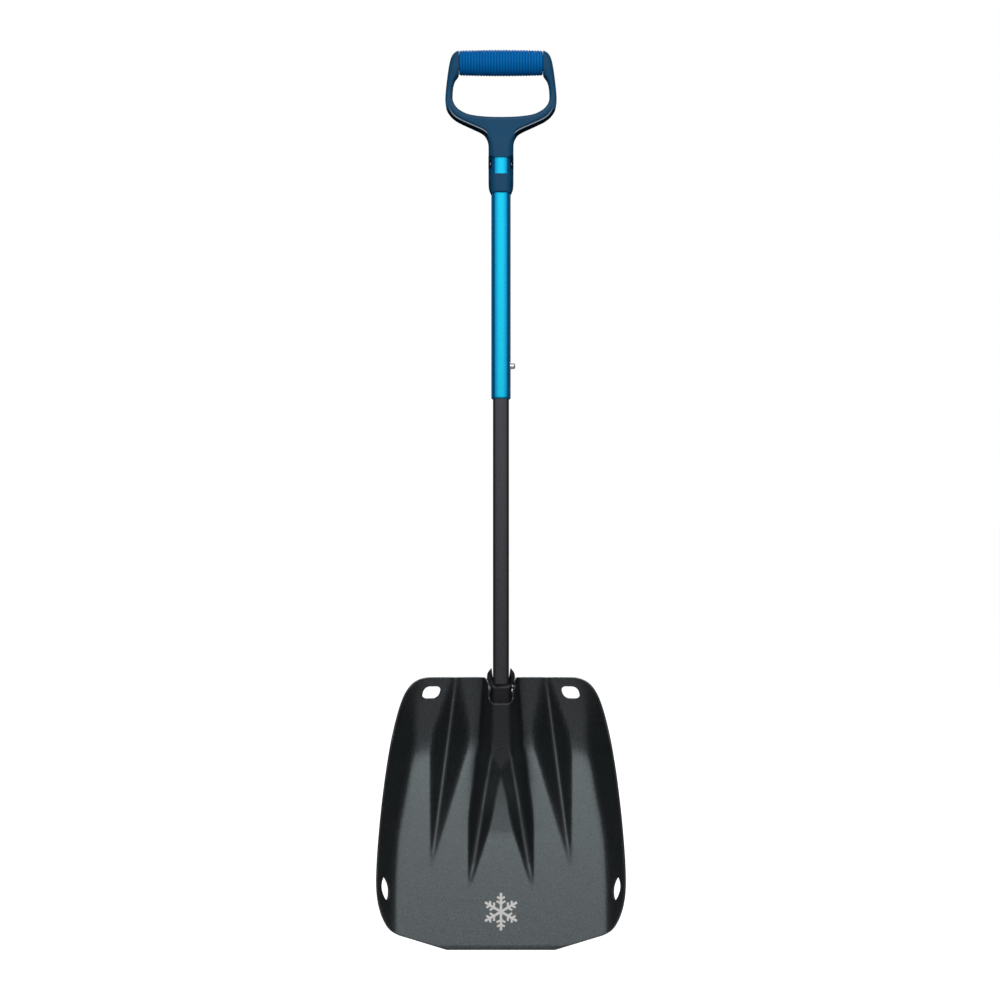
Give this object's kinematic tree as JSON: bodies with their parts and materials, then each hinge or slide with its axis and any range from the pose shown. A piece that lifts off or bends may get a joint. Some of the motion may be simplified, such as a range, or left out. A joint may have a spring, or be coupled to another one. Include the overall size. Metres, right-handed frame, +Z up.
{
  "type": "avalanche shovel",
  "caption": "Collapsible snow shovel: stamped aluminium scoop blade on a telescoping trapezoid-section shaft with snap buttons and a ribbed D handle.",
  "frame": {"origin": "middle of the blade's cutting edge, on the shaft's centre line, with the edge's flat end face in the plane z = 0", "axes": "+Z up the shaft towards the handle, +X across the blade towards the snap buttons, +Y out of the blade's back; the scoop opens towards -Y"},
  "size_m": [0.2554, 0.0571, 0.927],
  "materials": {
    "blade_sheet": "satin black anodised, fine speckle",
    "black_tube": "satin black anodised",
    "blue_tube": "satin cyan-blue anodised",
    "navy_plastic": "fine moulded texture",
    "blue_grip": "ribbed soft-touch",
    "black_plastic": "moulded satin",
    "bright_steel": "polished",
    "spring_steel": "satin"
  },
  "bodies": {
    "blade": {"blade_shell": "blade_sheet", "rear_bracket": "blade_sheet", "weld_bead_left": "blade_sheet", "weld_bead_right": "blade_sheet", "socket_sleeve": "black_plastic", "bracket_rivet_lower": "bright_steel", "bracket_rivet_upper": "bright_steel"},
    "lower_shaft": {"lower_tube": "black_tube", "bottom_end_plug": "black_plastic", "top_guide_plug": "black_plastic", "lower_leaf_spring": "spring_steel", "upper_leaf_spring": "spring_steel"},
    "lower_snap": {"lower_button": "bright_steel"},
    "upper_snap": {"upper_button": "bright_steel"},
    "upper_shaft": {"upper_tube": "blue_tube", "handle_frame": "navy_plastic", "grip_sleeve": "blue_grip", "handle_rivet": "bright_steel"}
  },
  "joints": [
    {"name": "blade_release", "type": "slide", "parent": "blade", "child": "lower_shaft", "axis": [0, 0, 1], "range_m": [0, 0.1], "deforming": ["lower_button"]},
    {"name": "telescope", "type": "slide", "parent": "lower_shaft", "child": "upper_shaft", "axis": [0, 0, -1], "range_m": [0, 0.2095], "deforming": ["upper_button"]},
    {"name": "lower_button_press", "type": "slide", "parent": "lower_shaft", "child": "lower_snap", "axis": [-1, 0, 0], "range_m": [0, 0.0063], "stiffness_N_per_m": 800, "deforming": ["lower_leaf_spring"]},
    {"name": "upper_button_press", "type": "slide", "parent": "lower_shaft", "child": "upper_snap", "axis": [-1, 0, 0], "range_m": [0, 0.0063], "stiffness_N_per_m": 800, "deforming": ["upper_leaf_spring"]}
  ]
}
